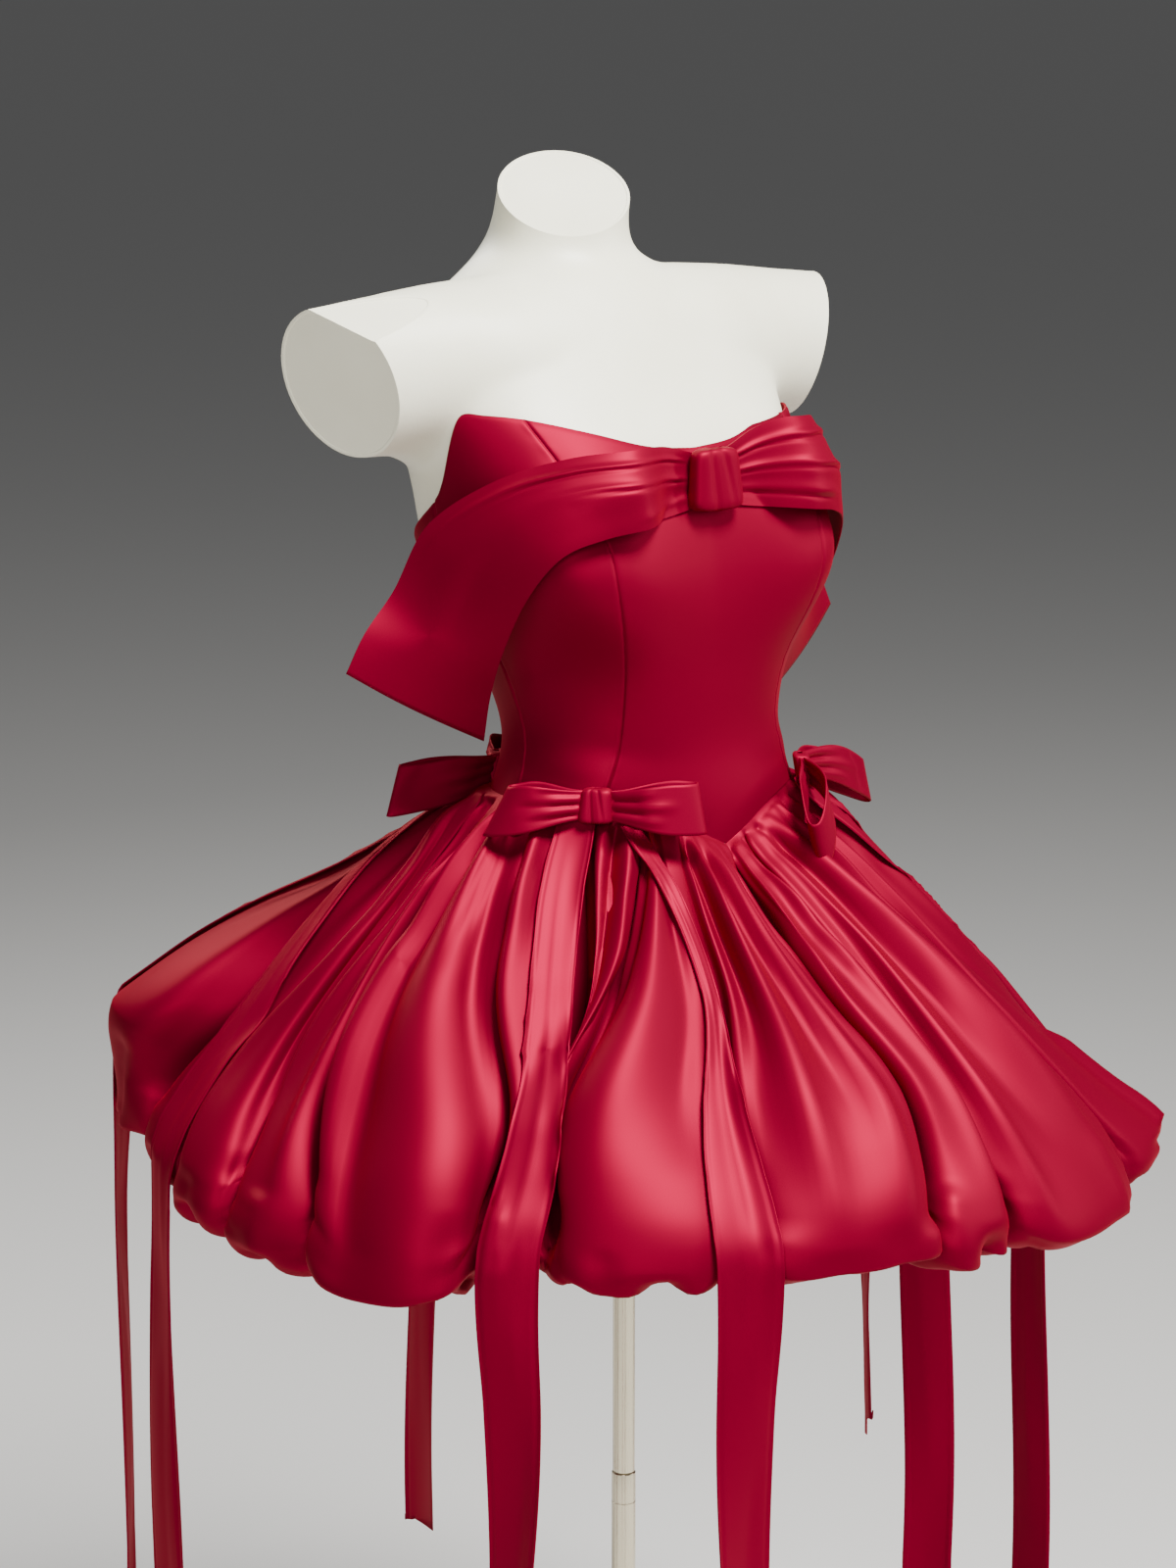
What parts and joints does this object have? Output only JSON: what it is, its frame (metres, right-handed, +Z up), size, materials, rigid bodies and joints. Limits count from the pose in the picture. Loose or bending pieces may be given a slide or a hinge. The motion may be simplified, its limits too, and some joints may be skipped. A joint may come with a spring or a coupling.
{
  "type": "homecoming dress on a limbless dress form and pole stand",
  "caption": "Strapless satin dress with a draped chest bow, a short gathered bubble skirt, waist bows and long ribbon tails, on a limbless dress form on a pole with a round base.",
  "frame": {"origin": "on the floor at the centre of the pole and of the round base plate", "axes": "+Z up, the dress faces -Y, the wearer's left is +X"},
  "size_m": [0.8042, 0.7906, 1.4909],
  "materials": {
    "crimson_satin": "heavy crimson satin, soft streaked sheen",
    "bow_satin": "crimson satin ribbon, folded double",
    "form_plastic": "warm white, satin smooth",
    "pole_steel": "champagne tinted, satin",
    "flange_steel": "dark grey",
    "base_plate": "champagne tinted, satin"
  },
  "bodies": {
    "root": {"form_torso": "form_plastic", "form_flange": "flange_steel", "pole_upper": "pole_steel", "pole_lower": "pole_steel", "base_plate": "base_plate", "bodice_front": "crimson_satin", "bodice_side_front_left": "crimson_satin", "bodice_side_front_right": "crimson_satin", "bodice_side_back_left": "crimson_satin", "bodice_side_back_right": "crimson_satin", "bodice_back_left": "crimson_satin", "bodice_back_right": "crimson_satin", "skirt_front": "crimson_satin", "skirt_left": "crimson_satin", "skirt_back": "crimson_satin", "skirt_right": "crimson_satin", "chest_knot": "crimson_satin", "chest_band_right": "crimson_satin", "chest_band_left": "crimson_satin", "bow_front_right_knot": "bow_satin", "bow_front_right_loop_a": "bow_satin", "bow_front_right_loop_b": "bow_satin", "bow_front_left_knot": "bow_satin", "bow_front_left_loop_a": "bow_satin", "bow_front_left_loop_b": "bow_satin", "bow_back_left_knot": "bow_satin", "bow_back_left_loop_a": "bow_satin", "bow_back_left_loop_b": "bow_satin", "bow_back_right_knot": "bow_satin", "bow_back_right_loop_a": "bow_satin", "bow_back_right_loop_b": "bow_satin", "tail_front_right_a": "bow_satin", "tail_front_right_b": "bow_satin", "tail_front_left_a": "bow_satin", "tail_front_left_b": "bow_satin", "tail_back_left_a": "bow_satin", "tail_back_left_b": "bow_satin", "tail_back_right_a": "bow_satin", "tail_back_right_b": "bow_satin"}
  },
  "joints": []
}
